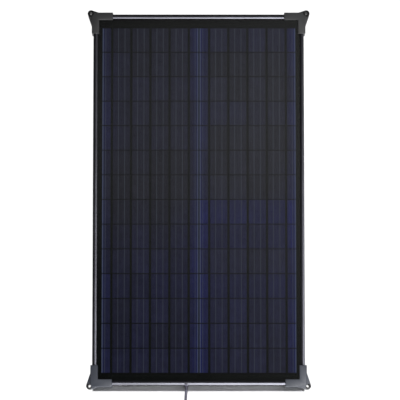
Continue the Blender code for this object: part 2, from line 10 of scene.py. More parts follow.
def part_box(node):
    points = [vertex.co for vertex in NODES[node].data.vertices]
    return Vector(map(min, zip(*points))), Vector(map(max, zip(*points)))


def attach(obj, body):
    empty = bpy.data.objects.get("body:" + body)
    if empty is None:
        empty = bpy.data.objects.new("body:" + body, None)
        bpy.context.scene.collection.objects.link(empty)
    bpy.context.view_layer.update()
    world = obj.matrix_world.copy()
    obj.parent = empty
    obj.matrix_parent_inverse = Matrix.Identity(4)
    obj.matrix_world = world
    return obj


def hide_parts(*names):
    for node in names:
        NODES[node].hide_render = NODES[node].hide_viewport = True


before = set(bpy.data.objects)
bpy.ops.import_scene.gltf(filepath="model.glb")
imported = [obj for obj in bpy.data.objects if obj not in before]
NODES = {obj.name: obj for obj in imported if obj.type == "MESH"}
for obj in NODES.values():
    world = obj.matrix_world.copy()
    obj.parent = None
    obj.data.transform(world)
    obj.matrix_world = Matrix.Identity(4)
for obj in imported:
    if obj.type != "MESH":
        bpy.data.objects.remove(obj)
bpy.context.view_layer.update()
MM = 0.001
GAP = 0.3 * MM
ROUND_STEPS = 48

# The frame's outside, from its CAD rails
HALF_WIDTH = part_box("rail_right")[1].x
HALF_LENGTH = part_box("rail_top")[1].y
FRAME_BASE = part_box("rail_left")[0].z
FRAME_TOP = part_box("rail_left")[1].z
GLASS_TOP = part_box("front_glass")[1].z

# ---------------------------------------------------------------- camera

CAMERA_PLACE = Vector((-0.0040, -0.4952, 4.500))
AIM = Vector((0.0023, -0.0024, 0.024))
# The width that the picture shows at the aim's distance
VIEW_WIDTH = 0.6507
SENSOR_WIDTH = 36


def make_camera():
    data = bpy.data.cameras.new("camera")
    back = CAMERA_PLACE - AIM
    data.sensor_width = SENSOR_WIDTH
    data.lens = SENSOR_WIDTH * back.length / VIEW_WIDTH
    data.clip_start, data.clip_end = 0.1, 30
    camera = bpy.data.objects.new("camera", data)
    bpy.context.scene.collection.objects.link(camera)
    camera.location = CAMERA_PLACE
    back.normalize()
    right = Vector((0, 1, 0)).cross(back).normalized()
    camera.rotation_mode = "QUATERNION"
    camera.rotation_quaternion = Matrix((right, back.cross(right), back)).transposed().to_quaternion()
    bpy.context.scene.camera = camera


# ---------------------------------------------------------------- pieces


def add(obj, *nodes, slot=None):
    """Puts a piece in the scene on the panel's body, in place of the CAD nodes that it stands for."""
    if obj.name not in bpy.context.scene.collection.objects:
        bpy.context.scene.collection.objects.link(obj)
    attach(obj, "root")
    if nodes:
        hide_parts(*nodes)
    return obj


def piece(name, shape):
    """An object from a bmesh, which it frees."""
    mesh = bpy.data.meshes.new(name)
    shape.to_mesh(mesh)
    shape.free()
    obj = bpy.data.objects.new(name, mesh)
    bpy.context.scene.collection.objects.link(obj)
    return obj


def smooth(obj, angle=35):
    obj.data.shade_smooth()
    obj.data.set_sharp_from_angle(angle=math.radians(angle))
    return obj


def bevel(obj, width, segments=3, angle=40):
    made = obj.modifiers.new("round_edges", "BEVEL")
    made.width = width
    made.segments = segments
    made.limit_method = "ANGLE"
    made.angle_limit = math.radians(angle)


def boolean(obj, other, operation="DIFFERENCE"):
    made = obj.modifiers.new(operation.lower(), "BOOLEAN")
    made.operation = operation
    made.object = other
    made.solver = "EXACT"


def baked(obj, *helpers):
    """The object with its modifiers made part of its mesh. Its helpers are removed."""
    bpy.context.view_layer.update()
    graph = bpy.context.evaluated_depsgraph_get()
    mesh = bpy.data.meshes.new_from_object(obj.evaluated_get(graph))
    obj.modifiers.clear()
    obj.data = mesh
    for helper in helpers:
        bpy.data.objects.remove(helper, do_unlink=True)
    return obj


def box(name, low, high):
    shape = bmesh.new()
    bmesh.ops.create_cube(shape, size=1.0)
    low, high = Vector(low), Vector(high)
    bmesh.ops.scale(shape, vec=high - low, verts=shape.verts)
    bmesh.ops.translate(shape, vec=(low + high) / 2, verts=shape.verts)
    return piece(name, shape)


def cylinder(name, radius, start, end, end_radius=None, segments=ROUND_STEPS):
    start, end = Vector(start), Vector(end)
    turn = (end - start).to_track_quat("Z", "Y").to_matrix().to_4x4()
    shape = bmesh.new()
    bmesh.ops.create_cone(
        shape,
        cap_ends=True,
        segments=segments,
        radius1=radius,
        radius2=radius if end_radius is None else end_radius,
        depth=(end - start).length,
        matrix=Matrix.Translation((start + end) / 2) @ turn,
    )
    return piece(name, shape)


def lofted(name, rings, cyclic=False):
    """Rings of the same number of points joined one to the next, with flat ends or in a closed loop."""
    shape = bmesh.new()
    made = [[shape.verts.new(point) for point in ring] for ring in rings]
    pairs = list(zip(made, made[1:]))
    if cyclic:
        pairs.append((made[-1], made[0]))
    for first, second in pairs:
        count = len(first)
        for i in range(count):
            j = (i + 1) % count
            shape.faces.new((first[i], first[j], second[j], second[i]))
    if not cyclic:
        shape.faces.new(made[0][::-1])
        shape.faces.new(made[-1])
    bmesh.ops.recalc_face_normals(shape, faces=shape.faces)
    return piece(name, shape)


def turned(name, profile, place):
    """A closed profile of (radius, height) in millimetres turned about Z, then placed by a matrix."""
    rings = []
    for step in range(ROUND_STEPS):
        angle = math.tau * step / ROUND_STEPS
        across, along = math.cos(angle) * MM, math.sin(angle) * MM
        rings.append([place @ Vector((r * across, r * along, h * MM)) for r, h in profile])
    return smooth(lofted(name, rings, cyclic=True), 50)


def prism(name, outline, low, high):
    """A flat outline of (x, y) made solid from low to high along Z."""
    return lofted(name, [[(x, y, z) for x, y in outline] for z in (low, high)])


# ---------------------------------------------------------------- finishes


class Finish:
    """A material built up from nodes round its Principled shader. Noise scales are per metre."""

    def __init__(self, name):
        self.material = bpy.data.materials.new(name)
        self.material.use_nodes = True
        self.tree = self.material.node_tree
        self.shader = self.tree.nodes["Principled BSDF"]
        self.output = self.tree.nodes["Material Output"]

    def put(self, socket, value):
        if isinstance(value, bpy.types.NodeSocket):
            self.tree.links.new(value, socket)
        else:
            socket.default_value = value

    def node(self, kind, inputs=(), **settings):
        made = self.tree.nodes.new(kind)
        for key, value in settings.items():
            setattr(made, key, value)
        for key, value in dict(inputs).items():
            self.put(made.inputs[key], value)
        return made

    def math(self, operation, *values, clamp=False):
        made = self.node("ShaderNodeMath", operation=operation, use_clamp=clamp)
        for socket, value in zip(made.inputs, values):
            self.put(socket, value)
        return made.outputs[0]

    def place(self, scale=(1, 1, 1), offset=(0, 0, 0)):
        """A point's place in the panel's frame, scaled and then moved."""
        where = self.node("ShaderNodeTexCoord").outputs["Object"]
        made = self.node("ShaderNodeMapping", {"Vector": where, "Scale": scale, "Location": offset})
        return made.outputs[0]

    def noise(self, scale, detail=3.0, roughness=0.5, stretch=(1, 1, 1), offset=(0, 0, 0)):
        return self.node(
            "ShaderNodeTexNoise",
            {
                "Vector": self.place(stretch, offset),
                "Scale": scale,
                "Detail": detail,
                "Roughness": roughness,
            },
        ).outputs["Fac"]

    def ranged(self, value, low, high, to_low=0.0, to_high=1.0):
        """The value mapped from one range to the other, and kept inside it."""
        sockets = ("Value", "From Min", "From Max", "To Min", "To Max")
        inputs = zip(sockets, (value, low, high, to_low, to_high))
        return self.node("ShaderNodeMapRange", inputs).outputs[0]

    def patchy(self, noise, low=0.0, high=1.0):
        """The middle of a noise's values spread over a range."""
        return self.ranged(noise, 0.3, 0.7, low, high)

    def join(self, *values):
        """Up to three numbers as one vector or colour."""
        return self.node("ShaderNodeCombineXYZ", dict(enumerate(values))).outputs[0]

    def mix(self, share, first, second, blend="MIX"):
        made = self.node("ShaderNodeMix", data_type="RGBA", blend_type=blend)
        self.put(made.inputs[0], share)
        for socket, value in ((made.inputs[6], first), (made.inputs[7], second)):
            self.put(socket, (*value, 1.0) if isinstance(value, tuple) else value)
        return made.outputs[2]

    def bump(self, height, distance, strength):
        inputs = {"Height": height, "Distance": distance, "Strength": strength}
        self.put(self.shader.inputs["Normal"], self.node("ShaderNodeBump", inputs).outputs[0])

    def set(self, **sockets):
        """Values or links for the shader's sockets, with _ for each space in their names."""
        for key, value in sockets.items():
            self.put(self.shader.inputs[key.replace("_", " ")], value)


def plastic(name, colour, roughness, painted_shade_spot=None):
    """Moulded plastic: a fine spark-eroded grain, slow changes of tone and a few rubbed spots.

    A painted shade spot is an upright cylinder (centre, radius) inside which the plastic is painted nearly
    black, for the shade over an ear and its hole."""
    made = Finish(name)
    pale = tuple(c * 1.12 + 0.002 for c in colour)
    deep = tuple(c * 0.88 for c in colour)
    worn = tuple(c * 1.5 + 0.01 for c in colour)
    tone = made.mix(made.patchy(made.noise(28.0, 4.0)), deep, pale)
    rubbed = made.ranged(made.noise(160.0, 5.0, 0.65, offset=(3, 1, 2)), 0.62, 0.74)
    tone = made.mix(made.math("MULTIPLY", rubbed, 0.25), tone, worn)
    if painted_shade_spot:
        centre, radius = painted_shade_spot
        flat = made.place((1, 1, 0), (-centre[0], -centre[1], 0))
        away = made.node("ShaderNodeVectorMath", {0: flat}, operation="LENGTH").outputs["Value"]
        # Painted shade: nearly black inside the spot, fading out over 0.8 mm
        share = made.ranged(away, radius, radius + 0.8 * MM, 0.92, 0.0)
        tone = made.mix(share, tone, (0.004, 0.004, 0.004))
    made.set(
        Base_Color=tone,
        Roughness=made.patchy(made.noise(420.0, 2.0), roughness - 0.06, roughness + 0.07),
    )
    made.bump(made.noise(2600.0, 2.0, 0.6), 0.03 * MM, 0.6)
    return made.material


def anodised(name, stretch):
    """Black anodised aluminium with faint drawing lines, along the axis in which the stretch is small."""
    made = Finish(name)
    lines = made.noise(1500.0, 3.0, 0.6, stretch)
    cloud = made.noise(14.0, 4.0, 0.55)
    tone = made.mix(made.patchy(cloud), (0.024, 0.024, 0.028), (0.034, 0.034, 0.040))
    tone = made.mix(made.ranged(lines, 0.45, 0.75, 0.0, 0.35), tone, (0.052, 0.052, 0.060))
    made.set(
        Base_Color=tone,
        Metallic=1.0,
        Roughness=made.ranged(lines, 0.25, 0.75, 0.36, 0.48),
    )
    made.bump(lines, 0.01 * MM, 0.5)
    return made.material


def rubber(name, colour):
    made = Finish(name)
    pale = tuple(c * 1.7 + 0.002 for c in colour)
    made.set(
        Base_Color=made.mix(made.patchy(made.noise(60.0, 4.0)), colour, pale),
        Roughness=made.patchy(made.noise(500.0), 0.62, 0.82),
    )
    made.bump(made.noise(1800.0, 2.0), 0.04 * MM, 0.6)
    return made.material


def sheath(name):
    """The cable's soft jacket, and the mouldings in its colour."""
    made = Finish(name)
    slow = made.patchy(made.noise(90.0, 4.0))
    made.set(
        Base_Color=made.mix(slow, (0.042, 0.041, 0.060), (0.062, 0.060, 0.086)),
        Roughness=made.patchy(made.noise(700.0), 0.42, 0.58),
    )
    made.bump(made.noise(1500.0, 2.0), 0.03 * MM, 0.5)
    return made.material


def metal(name, dark, pale, roughness):
    made = Finish(name)
    made.set(
        Base_Color=made.mix(made.patchy(made.noise(300.0, 4.0)), dark, pale),
        Metallic=1.0,
        Roughness=made.patchy(made.noise(750.0), roughness - 0.07, roughness + 0.08),
    )
    made.bump(made.noise(1500.0), 0.01 * MM, 0.5)
    return made.material


# ---------------------------------------------------------------- cable

CABLE_DIAMETER = 4.2 * MM
# Where the cable leaves the bottom rail
EXIT_X = -20 * MM
EXIT_Z = 7.5 * MM
EXIT_HOLE_RADIUS = 3.2 * MM
# The routes are in millimetres
LEAD_ROUTE = [
    (-20.0, -304.4, 7.5),
    (-20.0, -308.5, 7.45),
    (-20.2, -313.0, 6.9),
    (-20.6, -318.0, 5.5),
    (-20.9, -323.0, 4.0),
    (-21.1, -329.0, 3.1),
    (-21.1, -337.0, 2.85),
    (-21.0, -346.0, 2.85),
    (-21.0, -356.0, 2.85),
]
COIL_CENTRE = (10.45, -363.7)
COIL_TURNS = 7.25
COIL_OUTER = 31.45
COIL_STEP = 4.3
COIL_LAYERS = (2.85, 7.15)
POINTS_PER_TURN = 40
# In turns: where the coil climbs onto its second layer and over how much, and how long before the end of a
# turn it steps to the next one and over how much
CLIMB_START = 3.4
CLIMB_LENGTH = 0.5
STEP_BEFORE = 0.25
STEP_LENGTH = 1 / 6
TAIL_ROUTE = [
    (18.5, -395.15, 7.15),
    (23.0, -395.15, 7.15),
    (27.0, -395.1, 7.0),
    (32.0, -394.6, 6.2),
    (37.5, -393.9, 5.1),
    (43.0, -393.5, 4.7),
    (46.6, -393.5, 4.7),
]
# The connector's housing, in millimetres: distance from its boot, width, height and corner radius
HOUSING_SECTIONS = (
    (0.0, 11.0, 7.4, 2.6),
    (0.6, 12.6, 8.2, 2.4),
    (1.6, 13.6, 8.6, 2.2),
    (5.0, 14.2, 8.8, 2.0),
    (6.0, 13.2, 8.0, 2.0),
    (14.0, 13.2, 8.0, 2.0),
    (15.0, 14.8, 8.9, 1.6),
    (22.8, 14.8, 8.9, 1.6),
    (23.6, 14.3, 8.4, 1.6),
    (24.0, 13.4, 7.5, 1.4),
)
HOUSING_LENGTH = HOUSING_SECTIONS[-1][0] * MM
CONNECTOR_Y = -393.5 * MM
CONNECTOR_Z = 4.7 * MM
SOCKET_OFFSET = 3.6 * MM
SOCKET_RADIUS = 2.3 * MM
SOCKET_DEPTH = 10 * MM
BOOT_RIBS = 5
GRIP_RIBS = 6
TIE_WIDTH = 4.0 * MM
TIE_THICKNESS = 0.4 * MM
TIE_CORNER = 1.3 * MM
# The tie's head: its underside and top, how far it stands out from the strap and how deep it sits in it
TIE_HEAD = (2.7 * MM, 6.6 * MM)
TIE_HEAD_OUT = 1.6 * MM
TIE_HEAD_SUNK = 0.05 * MM


def ease(t):
    """0 before the start, 1 after the end, and smooth between them."""
    t = min(max(t, 0.0), 1.0)
    return t * t * (3 - 2 * t)


def coil_points():
    """The coil in millimetres: turns side by side on the floor, working inwards, then turns on top of them,
    working back out."""
    points = []
    steps = round(COIL_TURNS * POINTS_PER_TURN)
    for step in range(steps + 1):
        turns = COIL_TURNS * step / steps
        begun = [turns - k + STEP_BEFORE for k in range(8)]
        inwards = sum(ease(begun[k] / STEP_LENGTH) for k in (1, 2, 3))
        outwards = sum(ease(begun[k] / STEP_LENGTH) for k in (5, 6, 7))
        climb = ease((turns - CLIMB_START) / CLIMB_LENGTH)
        radius = COIL_OUTER - COIL_STEP * (inwards - outwards)
        height = COIL_LAYERS[0] + (COIL_LAYERS[1] - COIL_LAYERS[0]) * climb
        angle = math.pi + math.tau * turns
        x = COIL_CENTRE[0] + radius * math.cos(angle)
        y = COIL_CENTRE[1] + radius * math.sin(angle)
        points.append((x, y, height))
    return points


def smooth_route(route, spacing):
    """Points about that far apart on a smooth curve through the route, which is in millimetres."""
    knots = [Vector(point) * MM for point in route]
    ends = [2 * knots[0] - knots[1], *knots, 2 * knots[-1] - knots[-2]]
    points = []
    for before, start, end, after in zip(ends, ends[1:], ends[2:], ends[3:]):
        slope = end - before
        bend = 2 * before - 5 * start + 4 * end - after
        rest = 3 * start - before - 3 * end + after
        steps = max(1, round((end - start).length / spacing))
        for step in range(steps):
            t = step / steps
            points.append(start + 0.5 * (slope * t + bend * t**2 + rest * t**3))
    return points + [knots[-1]]


def make_cable():
    """The cable as one curve, and its length."""
    points = smooth_route(LEAD_ROUTE + coil_points() + TAIL_ROUTE, 2.5 * MM)
    length = sum((b - a).length for a, b in zip(points, points[1:]))
    curve = bpy.data.curves.new("output_cable", "CURVE")
    curve.dimensions = "3D"
    curve.bevel_depth = CABLE_DIAMETER / 2
    curve.bevel_resolution = 5
    curve.use_fill_caps = True
    spline = curve.splines.new("POLY")
    spline.points.add(len(points) - 1)
    for point, place in zip(spline.points, points):
        point.co = (*place, 1)
    spline.use_smooth = True
    cable = bpy.data.objects.new("output_cable", curve)
    curve.materials.append(sheath("cable_sheath_finish"))
    add(cable, "cable_lead", "cable_coil", "cable_tail", slot="cable_sheath")
    return cable, length


def rounded(width, height, radius, steps=5):
    """A rounded rectangle about the origin as (x, y) points."""
    points = []
    for side, end, start in ((1, 1, 0), (-1, 1, 90), (-1, -1, 180), (1, -1, 270)):
        for step in range(steps + 1):
            angle = math.radians(start + 90 * step / steps)
            x = side * (width / 2 - radius) + radius * math.cos(angle)
            y = end * (height / 2 - radius) + radius * math.sin(angle)
            points.append((x, y))
    return points


def make_housing(high):
    """The connector's waisted housing, with its socket."""
    start = high.x - HOUSING_LENGTH
    rings = []
    for out, width, height, radius in HOUSING_SECTIONS:
        x = start + out * MM
        outline = rounded(width * MM, height * MM, radius * MM)
        rings.append([(x, CONNECTOR_Y + y, CONNECTOR_Z + z) for y, z in outline])
    housing = lofted("connector_body", rings)
    y = CONNECTOR_Y - SOCKET_OFFSET
    ends = (high.x - SOCKET_DEPTH, y, CONNECTOR_Z), (high.x + 2 * MM, y, CONNECTOR_Z)
    drill = cylinder("drill", SOCKET_RADIUS, *ends)
    boolean(housing, drill)
    baked(housing, drill)
    smooth(housing, 30)
    housing.data.materials.append(plastic("connector_plastic", (0.014, 0.014, 0.016), 0.45))
    return add(housing, "connector_housing", slot="box_plastic")


def make_boot(low):
    """The ribbed boot round the cable's end, widening towards the housing."""
    profile = [(1.9, 0.4), (2.75, 0.0)]
    for rib in range(BOOT_RIBS):
        start = 1.2 + rib * 3.4
        size = 2.9 + rib * 0.28
        profile += [(size + 0.25, start), (size + 0.3, start + 1.9)]
        profile += [(size - 0.35, start + 2.2), (size - 0.3, start + 3.1)]
    profile += [(4.1, 18.6), (4.2, 20.6), (1.9, 20.6)]
    place = Matrix.Translation((low.x, CONNECTOR_Y, CONNECTOR_Z)) @ Matrix.Rotation(math.pi / 2, 4, "Y")
    boot = turned("connector_boot", profile, place)
    boot.data.materials.append(rubber("boot_rubber", (0.016, 0.016, 0.018)))
    return add(boot, slot="box_plastic")


def make_grip(high, finish):
    """Raised bars across the housing's waist, above and below."""
    size = Matrix.Diagonal((0.55 * MM, 9 * MM, 0.5 * MM, 1))
    bars = bmesh.new()
    for side in (-1, 1):
        for index in range(GRIP_RIBS):
            x = high.x - HOUSING_LENGTH + (7.2 + index * 1.15) * MM
            middle = Vector((x, CONNECTOR_Y, CONNECTOR_Z + side * 4.15 * MM))
            bmesh.ops.create_cube(bars, size=1.0, matrix=Matrix.Translation(middle) @ size)
    grip = piece("connector_grip", bars)
    bevel(grip, 0.12 * MM, 2)
    baked(grip)
    smooth(grip)
    grip.data.materials.append(finish)
    return add(grip, slot="box_plastic")


def make_pin():
    """The bare pin, with a groove round it and a rounded tip."""
    low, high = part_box("connector_pin")
    length = (high.x - low.x) / MM
    profile = [(0.3, 0.0), (1.9, 0.0), (1.9, 5.6), (1.62, 5.9), (1.62, 6.5), (1.9, 6.8)]
    profile += [(1.88, length - 1.1), (1.4, length - 0.25), (0.3, length)]
    place = Matrix.Translation((low.x, (low.y + high.y) / 2, CONNECTOR_Z))
    pin = turned("connector_contact", profile, place @ Matrix.Rotation(math.pi / 2, 4, "Y"))
    pin.data.materials.append(metal("contact_metal", (0.62, 0.42, 0.18), (0.78, 0.58, 0.30), 0.28))
    return add(pin, "connector_pin", slot="brass_contact")


def make_connector():
    """Two-pole connector: a ribbed boot, a waisted housing with a grip, one shrouded socket and one pin."""
    low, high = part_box("connector_housing")
    housing = make_housing(high)
    return housing, make_boot(low), make_grip(high, housing.data.materials[0]), make_pin()


def make_tie():
    """A nylon tie round the coil: a thin strap with a square head on the outer side."""
    low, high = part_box("cable_tie")
    middle = (low.y + high.y) / 2
    outer = high.x - TIE_HEAD_OUT
    centre_x, centre_z = (low.x + outer) / 2, (low.z + high.z) / 2
    skins = []
    for inset in (0.0, TIE_THICKNESS):
        width, height = outer - low.x - 2 * inset, high.z - low.z - 2 * inset
        outline = rounded(width, height, TIE_CORNER - 0.8 * inset, 6)
        skins.append([(centre_x + x, centre_z + z) for x, z in outline])
    rings = []
    for side, skin in ((-1, 0), (-1, 1), (1, 1), (1, 0)):
        rings.append([(x, middle + side * TIE_WIDTH / 2, z) for x, z in skins[skin]])
    strap = lofted("tie_strap", rings, cyclic=True)
    smooth(strap)
    nylon = plastic("tie_nylon", (0.013, 0.013, 0.014), 0.4)
    strap.data.materials.append(nylon)
    add(strap, "cable_tie", slot="box_plastic")
    head_low = (outer - TIE_HEAD_SUNK, middle - TIE_WIDTH / 2, TIE_HEAD[0])
    head = box("tie_head", head_low, (high.x, middle + TIE_WIDTH / 2, TIE_HEAD[1]))
    bevel(head, 0.4 * MM)
    baked(head)
    smooth(head)
    head.data.materials.append(nylon)
    add(head, slot="box_plastic")
    return strap, head


make_camera()
cable, cable_length = make_cable()
on_cable = [*make_connector(), *make_tie()]

# ---------------------------------------------------------------- frame rails

LIP_DEPTH = 6.8 * MM
LIP_UNDERSIDE = 24.5 * MM
LIP_CROWN = 1.7 * MM
LIP_STEPS = 24
WALL = 1.6 * MM
LEDGE_DEPTH = 8.5 * MM
LEDGE_UNDERSIDE = 11.0 * MM
LEDGE_TOP = 17.7 * MM
FLANGE_DEPTH = 20.0 * MM
FLANGE_TOP = 4.1 * MM
GROOVES = (19.6 * MM, 8.2 * MM)


def rail_section():
    """The rail's section as (depth, height): a crowned lip over the glass, a wall with two drawn grooves, the
    ledge that the laminate rests on and the rear flange."""
    points = [
        (0.35 * MM, FRAME_BASE),
        (FLANGE_DEPTH - 0.3 * MM, FRAME_BASE),
        (FLANGE_DEPTH, FRAME_BASE + 0.3 * MM),
        (FLANGE_DEPTH, FLANGE_TOP - 0.3 * MM),
        (FLANGE_DEPTH - 0.3 * MM, FLANGE_TOP),
        (WALL + 0.6 * MM, FLANGE_TOP),
        (WALL, FLANGE_TOP + 0.6 * MM),
        (WALL, LEDGE_UNDERSIDE),
        (LEDGE_DEPTH, LEDGE_UNDERSIDE),
        (LEDGE_DEPTH, LEDGE_TOP),
        (WALL, LEDGE_TOP),
        (WALL, LIP_UNDERSIDE),
        (LIP_DEPTH, LIP_UNDERSIDE),
    ]
    half = LIP_DEPTH / 2
    for step in range(LIP_STEPS + 1):
        across = 1 - 2 * step / LIP_STEPS
        points.append((half + half * across, FRAME_TOP - LIP_CROWN * across**2))
    for groove in GROOVES:
        for depth, height in ((0.0, 0.7), (0.3, 0.35), (0.3, -0.35), (0.0, -0.7)):
            points.append((depth * MM, groove + height * MM))
    points.append((0.0, FRAME_BASE + 0.35 * MM))
    return points


def make_rail(side, inward, half_length, reach, finish):
    """A mitred rail whose outer face is a reach from the middle."""
    inward, up = Vector(inward), Vector((0, 0, 1))
    along = inward.cross(up)
    rings = []
    for end in (-1, 1):
        ring = []
        for depth, height in rail_section():
            past_middle = end * (half_length - GAP - depth)
            ring.append(-inward * (reach - depth) + up * height + along * past_middle)
        rings.append(ring)
    rail = lofted(f"frame_rail_{side}", rings)
    if side == "bottom":
        ends = (EXIT_X, -reach - 3 * MM, EXIT_Z), (EXIT_X, -reach + 5 * MM, EXIT_Z)
        hole = cylinder("hole", EXIT_HOLE_RADIUS, *ends)
        boolean(rail, hole)
        baked(rail, hole)
    smooth(rail, 30)
    rail.data.materials.append(finish)
    return add(rail, f"rail_{side}", slot="anodised_frame")


def make_rails():
    lengthways = anodised("anodised_lengthways", (1, 0.02, 1))
    crossways = anodised("anodised_crossways", (0.02, 1, 1))
    return [
        make_rail("left", (1, 0, 0), HALF_LENGTH, HALF_WIDTH, lengthways),
        make_rail("right", (-1, 0, 0), HALF_LENGTH, HALF_WIDTH, lengthways),
        make_rail("top", (0, -1, 0), HALF_WIDTH, HALF_LENGTH, crossways),
        make_rail("bottom", (0, 1, 0), HALF_WIDTH, HALF_LENGTH, crossways),
    ]


# ---------------------------------------------------------------- corner caps

CAP_WALL = 2.8 * MM
CAP_ARM = 32 * MM
CAP_INNER = 9.2 * MM
CAP_TOP = 30 * MM
CAP_FLOOR = 2.2 * MM
EAR_CENTRE = (-4.2 * MM, -1.6 * MM)
EAR_RADIUS = 5.4 * MM
EAR_TOP = 27 * MM
EAR_BORE = 2.4 * MM
RIM_STEPS = 32
BORE_STEPS = 40
# Each corner's side and end of the panel, and its cap's tone. The tones are painted light and shade on one
# plastic: darkest at the top left, paler and bluer at the bottom right, where the lamps and reflections fall.
CORNERS = {
    "top_left": (-1, 1, (0.053, 0.054, 0.056)),
    "top_right": (1, 1, (0.072, 0.073, 0.075)),
    "bottom_left": (-1, -1, (0.056, 0.063, 0.084)),
    "bottom_right": (1, -1, (0.074, 0.081, 0.102)),
}
# The painted shade over an ear's hole, as its distance outwards from the hole and its radius: all round the
# top
# # ears, and a crescent on the outer side of the bottom ones
TOP_SHADE_SPOT = (1.6 * MM, 6.0 * MM)
BOTTOM_SHADE_SPOT = (2.6 * MM, 4.6 * MM)


def ell(near, far, reach):
    """The outline of an angle with two arms along X and Y."""
    return [(near, near), (reach, near), (reach, far), (far, far), (far, reach), (near, reach)]


def ear_outline():
    """The ear, with the gussets that join it to the cap's two walls."""
    x, y = EAR_CENTRE
    wall = 0.15 * MM - CAP_WALL
    on_side, on_end = (wall, 20 * MM), (10 * MM, wall)

    def touch(point, turn):
        """The angle at which the line from a point touches the ear's rim."""
        across, along = point[0] - x, point[1] - y
        return math.atan2(along, across) + turn * math.acos(EAR_RADIUS / math.hypot(across, along))

    first, last = touch(on_side, 1), touch(on_end, -1)
    last += math.tau * (last < first)
    rim = []
    for step in range(RIM_STEPS + 1):
        angle = first + (last - first) * step / RIM_STEPS
        rim.append((x + EAR_RADIUS * math.cos(angle), y + EAR_RADIUS * math.sin(angle)))
    inside = -1.4 * MM
    return [(inside, 20 * MM), on_side, *rim, on_end, (10 * MM, inside), (inside, inside)]


def cap_master():
    """A corner cap with its corner at the origin and its arms along +X and +Y."""
    cap = prism("cap_master", ell(-CAP_WALL, CAP_INNER, CAP_ARM), 0, CAP_TOP)
    bevel(cap, 1.1 * MM, 4)
    baked(cap)
    ear = prism("ear", ear_outline(), 0.1 * MM, EAR_TOP)
    bevel(ear, 0.5 * MM, 3, 50)
    baked(ear)
    x, y = EAR_CENTRE
    over = CAP_ARM + 5 * MM
    lip = LIP_DEPTH + GAP
    bore = cylinder("bore", EAR_BORE, (x, y, -MM), (x, y, CAP_TOP + MM), segments=BORE_STEPS)
    cone = (x, y, EAR_TOP - 1.0 * MM), (x, y, EAR_TOP + 0.2 * MM)
    wide = EAR_BORE + 0.9 * MM
    helpers = [
        prism("around_rails", ell(-GAP, lip, over), CAP_FLOOR, FRAME_TOP + GAP),
        prism("above_glass", ell(lip - MM, CAP_INNER + 2 * MM, over), CAP_FLOOR, GLASS_TOP + GAP),
        bore,
        cylinder("countersink", EAR_BORE - 0.3 * MM, *cone, end_radius=wide, segments=BORE_STEPS),
    ]
    boolean(cap, ear, "UNION")
    for helper in helpers:
        boolean(cap, helper)
    return baked(cap, ear, *helpers)


def make_caps():
    master, made = cap_master(), []
    # Each cap gets its own copy of the plastic in its corner's tone, which is painted light and shade
    for corner, (x, y, tone) in CORNERS.items():
        ear = Vector((x * (HALF_WIDTH - EAR_CENTRE[0]), y * (HALF_LENGTH - EAR_CENTRE[1]), 0))
        # Painted shade over the ear: all round it at the top corners, a crescent on the outer side at the
        # bottom ones
        out, radius = TOP_SHADE_SPOT if y > 0 else BOTTOM_SHADE_SPOT
        ear_shade_spot = (ear + Vector((x, y, 0)).normalized() * out, radius)
        mesh = master.data.copy()
        place = Matrix.Translation((x * HALF_WIDTH, y * HALF_LENGTH, 0))
        mesh.transform(place @ Matrix.Diagonal((-x, -y, 1, 1)))
        if x * y < 0:
            mesh.flip_normals()
        cap = bpy.data.objects.new(f"cap_{corner}", mesh)
        mesh.materials.clear()
        mesh.materials.append(plastic(f"cap_plastic_{corner}", tone, 0.42, painted_shade_spot=ear_shade_spot))
        smooth(cap, 38)
        made.append(add(cap, f"corner_cap_{corner}", slot="cap_plastic"))
    bpy.data.objects.remove(master, do_unlink=True)
    return made


# ---------------------------------------------------------------- laminate

# In millimetres
CELL_WIDTH = 156.75
CELL_HEIGHT = 39.2
ROW_PITCH = 40.4
STRING_GAP = 2.0
RIBBON_PITCH = CELL_WIDTH / 5
FINGER_PITCH = 1.4
# The middle of the bluer pair of rows on the right, which are rows 7 and 8 counted from nought
BLUER_ROWS = 7.5
# How much more the pane's front mirrors than one face of glass does, as it stands for its back as well
BOTH_FACES = 1.9
# Silicon, film and ribbons are bonded to the glass, so they have nearly no gloss of their own
DARK_SPECULAR = 0.01


